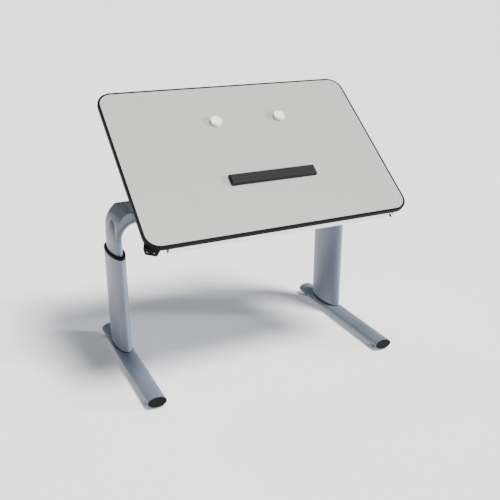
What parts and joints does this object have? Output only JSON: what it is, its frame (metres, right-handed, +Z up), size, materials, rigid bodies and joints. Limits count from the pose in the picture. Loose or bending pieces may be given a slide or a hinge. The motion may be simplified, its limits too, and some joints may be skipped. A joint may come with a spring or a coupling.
{
  "type": "drafting table",
  "caption": "Electric sit-stand drafting table: two oval telescopic legs, cross beam and tilting magnetic writing top held by a swinging prop frame",
  "frame": {"origin": "on the floor under the middle of the bounding box, midway between the two legs", "axes": "+X to the right of the person at the table, +Y away from them, +Z up; metres"},
  "size_m": [1.224, 0.8204, 1.2214],
  "materials": {
    "anodised_aluminium": "satin bluish silver anodising",
    "cast_aluminium": "fine-textured silver lacquer",
    "plated_steel": "zinc plated",
    "dark_steel": "phosphated",
    "black_plastic": "fine grained",
    "button_plastic": "satin",
    "black_rubber": "dull",
    "grey_lacquer": "light grey powder coat",
    "dark_grey_plastic": "moulded",
    "laminate": "pale grey matt high-pressure laminate",
    "board_wood": "particle board with a grey balancing laminate below",
    "white_plastic": "white moulded",
    "brass": "turned",
    "nylon": "natural",
    "black_lacquer": "black anodised look"
  },
  "bodies": {
    "stand": {"foot_left": "anodised_aluminium", "foot_right": "anodised_aluminium", "foot_caps": "black_plastic", "glides": "black_rubber", "leg_plates": "dark_steel", "column_gaskets": "black_rubber", "column_left": "anodised_aluminium", "column_right": "anodised_aluminium", "column_bolts": "plated_steel", "collar_rings": "black_plastic", "guide_sleeves": "nylon", "lift_tubes": "plated_steel", "lift_nuts": "brass"},
    "lift_frame": {"inner_tube_left": "anodised_aluminium", "inner_tube_right": "anodised_aluminium", "slide_shoes": "nylon", "motors": "dark_steel", "motor_cables": "black_rubber", "elbow_left": "cast_aluminium", "elbow_right": "cast_aluminium", "splice_blocks": "dark_steel", "elbow_screws": "plated_steel", "cross_beam": "anodised_aluminium", "box_saddle": "dark_steel", "control_box": "black_plastic", "mains_inlet": "black_rubber", "arm_left": "anodised_aluminium", "arm_right": "anodised_aluminium", "beam_screws": "dark_steel", "hinge_lugs": "cast_aluminium", "rest_buffers": "black_rubber"},
    "left_screw": {"spindle_left": "plated_steel"},
    "right_screw": {"spindle_right": "plated_steel"},
    "top": {"board_core": "board_wood", "steel_sheet": "plated_steel", "writing_surface": "laminate", "edge_band": "black_rubber", "front_rail": "grey_lacquer", "rail_caps": "dark_grey_plastic", "side_rails": "grey_lacquer", "rear_rail": "grey_lacquer", "hinge_brackets": "plated_steel", "hinge_pins": "plated_steel", "prop_brackets": "plated_steel", "lock_units": "black_plastic", "bracket_screws": "plated_steel", "release_cables": "black_rubber", "handset": "black_plastic", "lever_bracket": "plated_steel"},
    "prop_frame": {"prop_bars": "plated_steel", "prop_pins": "plated_steel", "foot_axle": "plated_steel", "runners": "nylon"},
    "up_key": {"up_button": "button_plastic"},
    "down_key": {"down_button": "button_plastic"},
    "lever": {"release_lever": "plated_steel", "lever_grip": "black_plastic"},
    "left_magnet": {"magnet_left": "white_plastic"},
    "right_magnet": {"magnet_right": "white_plastic"},
    "bar": {"ruler_bar": "black_lacquer"}
  },
  "joints": [
    {"name": "height", "type": "slide", "parent": "stand", "child": "lift_frame", "axis": [0, 0, 1], "range_m": [-0.05, 0.27]},
    {"name": "left_screw_turn", "type": "hinge", "parent": "lift_frame", "child": "left_screw", "pos_m": [-0.5705, 0.196, 0.3], "axis": [0, 0, 1], "range_deg": [-905, 4865]},
    {"name": "right_screw_turn", "type": "hinge", "parent": "lift_frame", "child": "right_screw", "pos_m": [0.5705, 0.196, 0.3], "axis": [0, 0, 1], "range_deg": [-905, 4865]},
    {"name": "tilt", "type": "hinge", "parent": "lift_frame", "child": "top", "pos_m": [0, -0.3312, 0.738], "axis": [1, 0, 0], "range_deg": [-37.1, 37.9]},
    {"name": "prop_swing", "type": "hinge", "parent": "top", "child": "prop_frame", "pos_m": [0, -0.09675, 0.92534], "axis": [1, 0, 0], "range_deg": [-75.9, 74.3]},
    {"name": "up_press", "type": "slide", "parent": "top", "child": "up_key", "axis": [0.3055, 0.9522, 0.001], "range_m": [0, 0.0012], "stiffness_N_per_m": 600, "springref_m": -0.001},
    {"name": "down_press", "type": "slide", "parent": "top", "child": "down_key", "axis": [0.3055, 0.9522, 0.001], "range_m": [0, 0.0012], "stiffness_N_per_m": 600, "springref_m": -0.001},
    {"name": "lever_squeeze", "type": "hinge", "parent": "top", "child": "lever", "pos_m": [0.52, -0.33482, 0.74279], "axis": [1, 0, 0], "range_deg": [-8, 0], "stiffness_Nm_per_rad": 0.4, "springref_deg": 11.46},
    {"name": "left_magnet_lift", "type": "slide", "parent": "top", "child": "left_magnet", "axis": [0, -0.6032, 0.7976], "range_m": [0, 0.05]},
    {"name": "right_magnet_lift", "type": "slide", "parent": "top", "child": "right_magnet", "axis": [0, -0.6032, 0.7976], "range_m": [0, 0.05]},
    {"name": "bar_lift", "type": "slide", "parent": "top", "child": "bar", "axis": [0, -0.6032, 0.7976], "range_m": [0, 0.05]}
  ],
  "couplings": [
    {"joint": "left_screw_turn", "follows": "height", "rad_per_m": 314.16},
    {"joint": "right_screw_turn", "follows": "height", "rad_per_m": 314.16},
    {"joint": "prop_swing", "follows": "tilt", "ratio": -2}
  ]
}
